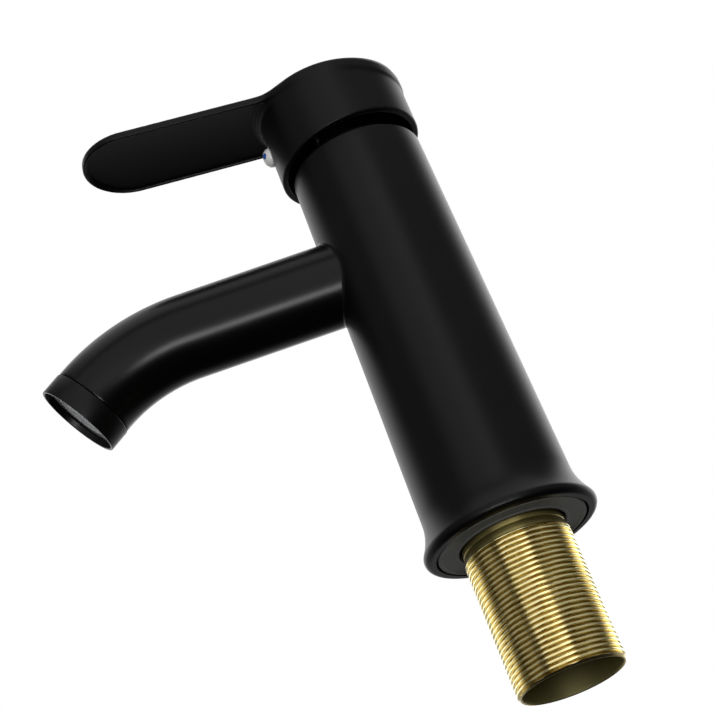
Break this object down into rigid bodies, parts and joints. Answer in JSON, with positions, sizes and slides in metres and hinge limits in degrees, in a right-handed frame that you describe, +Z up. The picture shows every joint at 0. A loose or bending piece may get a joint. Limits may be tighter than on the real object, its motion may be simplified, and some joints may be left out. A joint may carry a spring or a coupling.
{
  "type": "basin mixer tap",
  "caption": "Single-lever basin mixer with a round body, a down-turned round spout, a paddle lever on a cylindrical hub and a threaded brass shank under its foot.",
  "frame": {"origin": "on the body's axis, in the plane of the deck, at the underside of the foot", "axes": "+Z up along the body, the spout points along -Y, +X is the cold side"},
  "size_m": [0.0526, 0.1422, 0.2138],
  "materials": {
    "matt_black_coat": "matt black coating, satin sheen",
    "bare_brass": "bare machined brass",
    "grey_rubber": "dark grey rubber",
    "stainless_steel": "plain stainless steel",
    "white_plastic": "white moulded plastic",
    "grey_plastic": "light grey moulded plastic",
    "alumina_ceramic": "ground and lapped ceramic",
    "red_dot": "red mark",
    "blue_dot": "blue mark"
  },
  "bodies": {
    "root": {"body": "matt_black_coat", "threaded_shank": "bare_brass", "foot_gasket": "grey_rubber", "waterway_core": "bare_brass", "core_seal_upper": "grey_rubber", "core_seal_lower": "grey_rubber", "spout_tube": "matt_black_coat", "aerator_collar": "matt_black_coat", "aerator_insert": "grey_plastic", "aerator_screen": "stainless_steel", "aerator_seal": "grey_rubber", "cartridge_base": "grey_plastic", "inlet_seal_hot": "grey_rubber", "inlet_seal_cold": "grey_rubber", "outlet_seal": "grey_rubber", "fixed_disc": "alumina_ceramic", "cartridge_housing": "white_plastic", "cartridge_nut": "bare_brass", "bonnet_ring": "matt_black_coat"},
    "rotor_group": {"rotor": "white_plastic", "pivot_pin": "stainless_steel"},
    "disc_group": {"disc_carrier": "white_plastic", "moving_disc": "alumina_ceramic"},
    "handle_group": {"spindle": "stainless_steel", "handle": "matt_black_coat", "set_screw": "stainless_steel", "indicator_plug": "white_plastic", "hot_dot": "red_dot", "cold_dot": "blue_dot"}
  },
  "joints": [
    {"name": "handle_turn", "type": "hinge", "parent": "root", "child": "rotor_group", "pos_m": [0, 0, 0.129], "axis": [0, 0, 1], "range_deg": [-45, 45]},
    {"name": "handle_lift", "type": "hinge", "parent": "rotor_group", "child": "handle_group", "pos_m": [0, 0, 0.129], "axis": [-1, 0, 0], "range_deg": [0, 22]},
    {"name": "disc_slide", "type": "slide", "parent": "rotor_group", "child": "disc_group", "axis": [0, -1, 0], "range_m": [0, 0.0033]}
  ],
  "couplings": [
    {"joint": "disc_slide", "follows": "handle_lift", "m_per_rad": 0.0085}
  ]
}
